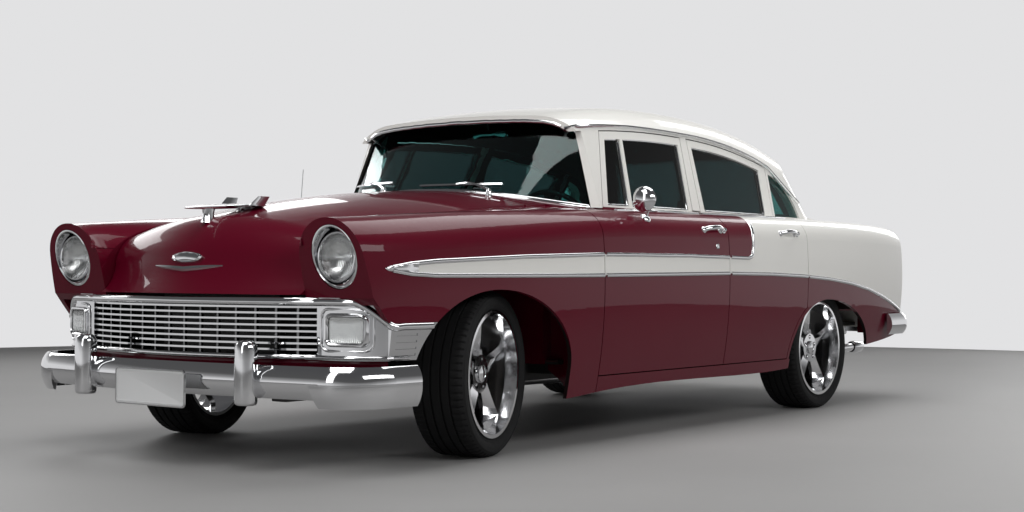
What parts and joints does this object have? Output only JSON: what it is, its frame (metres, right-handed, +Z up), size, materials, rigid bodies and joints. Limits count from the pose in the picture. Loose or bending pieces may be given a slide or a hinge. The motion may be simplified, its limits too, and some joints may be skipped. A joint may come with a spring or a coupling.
{
  "type": "classic car",
  "caption": "Lowered 1950s saloon car with wraparound windscreen, chrome grille and bumpers; doors, hood, boot lid, steering and road wheels move.",
  "frame": {"origin": "on the ground at the middle of the car's length and width", "axes": "+X forward along the car, +Y to its left, +Z up"},
  "size_m": [5.016, 1.872, 1.5259],
  "materials": {
    "burgundy_paint": "high gloss",
    "white_paint": "high gloss",
    "cream_paint": "gloss",
    "black_steel": "satin",
    "bright_chrome": "mirror",
    "polished_alloy": "polished",
    "grey_iron": "cast",
    "tyre_rubber": "matt",
    "tinted_glass": "clear",
    "lamp_glass": "ribbed",
    "red_lens": "gloss",
    "seat_vinyl": "soft satin",
    "dark_plastic": "satin"
  },
  "bodies": {
    "body": {"chassis_frame": "black_steel", "floor_pan": "black_steel", "cowl": "burgundy_paint", "left_body_side": "white_paint", "right_body_side": "white_paint", "roof": "cream_paint", "rear_deck": "white_paint", "tail_panel": "white_paint", "fixed_glass": "tinted_glass", "left_front_fender": "burgundy_paint", "right_front_fender": "burgundy_paint", "inner_fenders": "black_steel", "grille": "bright_chrome", "front_bumper": "bright_chrome", "rear_bumper": "bright_chrome", "front_lamps": "lamp_glass", "tail_lamps": "red_lens", "engine": "grey_iron", "radiator": "black_steel", "fuel_tank": "black_steel", "front_suspension": "black_steel", "rear_axle": "black_steel", "exhaust": "polished_alloy", "front_seat": "seat_vinyl", "rear_seat": "seat_vinyl", "dashboard": "burgundy_paint", "steering_wheel": "dark_plastic"},
    "left_knuckle": {"left_knuckle": "grey_iron"},
    "left_front_wheel": {"left_front_wheel": "polished_alloy", "left_front_tyre": "tyre_rubber"},
    "left_front_door": {"left_front_door": "burgundy_paint", "left_front_door_glass": "tinted_glass"},
    "left_rear_wheel": {"left_rear_wheel": "polished_alloy", "left_rear_tyre": "tyre_rubber"},
    "left_rear_door": {"left_rear_door": "burgundy_paint", "left_rear_door_glass": "tinted_glass"},
    "right_knuckle": {"right_knuckle": "grey_iron"},
    "right_front_wheel": {"right_front_wheel": "polished_alloy", "right_front_tyre": "tyre_rubber"},
    "right_front_door": {"right_front_door": "burgundy_paint", "right_front_door_glass": "tinted_glass"},
    "right_rear_wheel": {"right_rear_wheel": "polished_alloy", "right_rear_tyre": "tyre_rubber"},
    "right_rear_door": {"right_rear_door": "burgundy_paint", "right_rear_door_glass": "tinted_glass"},
    "hood": {"hood": "burgundy_paint"},
    "trunk_lid": {"trunk_lid": "white_paint"}
  },
  "joints": [
    {"name": "left_steering", "type": "hinge", "parent": "body", "child": "left_knuckle", "pos_m": [1.584, 0.64, 0.32], "axis": [0, 0, 1], "range_deg": [-47, 19]},
    {"name": "right_steering", "type": "hinge", "parent": "body", "child": "right_knuckle", "pos_m": [1.584, -0.64, 0.32], "axis": [0, 0, 1], "range_deg": [-47, 19]},
    {"name": "left_front_spin", "type": "hinge", "parent": "left_knuckle", "child": "left_front_wheel", "pos_m": [1.55981, 0.73703, 0.32], "axis": [-0.2419, 0.9703, 0], "continuous": true},
    {"name": "right_front_spin", "type": "hinge", "parent": "right_knuckle", "child": "right_front_wheel", "pos_m": [1.60819, -0.73703, 0.32], "axis": [-0.2419, 0.9703, 0], "continuous": true},
    {"name": "left_rear_spin", "type": "hinge", "parent": "body", "child": "left_rear_wheel", "pos_m": [-1.337, 0.74, 0.32], "axis": [0, 1, 0], "continuous": true},
    {"name": "right_rear_spin", "type": "hinge", "parent": "body", "child": "right_rear_wheel", "pos_m": [-1.337, -0.74, 0.32], "axis": [0, 1, 0], "continuous": true},
    {"name": "left_front_door_hinge", "type": "hinge", "parent": "body", "child": "left_front_door", "pos_m": [0.893, 0.937, 0.64], "axis": [0, 0, -1], "range_deg": [0, 65]},
    {"name": "left_rear_door_hinge", "type": "hinge", "parent": "body", "child": "left_rear_door", "pos_m": [-0.182, 0.937, 0.64], "axis": [0, 0, -1], "range_deg": [0, 65]},
    {"name": "right_front_door_hinge", "type": "hinge", "parent": "body", "child": "right_front_door", "pos_m": [0.893, -0.937, 0.64], "axis": [0, 0, 1], "range_deg": [0, 65]},
    {"name": "right_rear_door_hinge", "type": "hinge", "parent": "body", "child": "right_rear_door", "pos_m": [-0.182, -0.937, 0.64], "axis": [0, 0, 1], "range_deg": [0, 65]},
    {"name": "hood_hinge", "type": "hinge", "parent": "body", "child": "hood", "pos_m": [1.045, 0, 1.0737], "axis": [0, -1, 0], "range_deg": [0, 50]},
    {"name": "trunk_hinge", "type": "hinge", "parent": "body", "child": "trunk_lid", "pos_m": [-1.74, 0, 1.0396], "axis": [0, 1, 0], "range_deg": [0, 55]}
  ],
  "couplings": [
    {"joint": "right_steering", "follows": "left_steering", "ratio": 1}
  ]
}
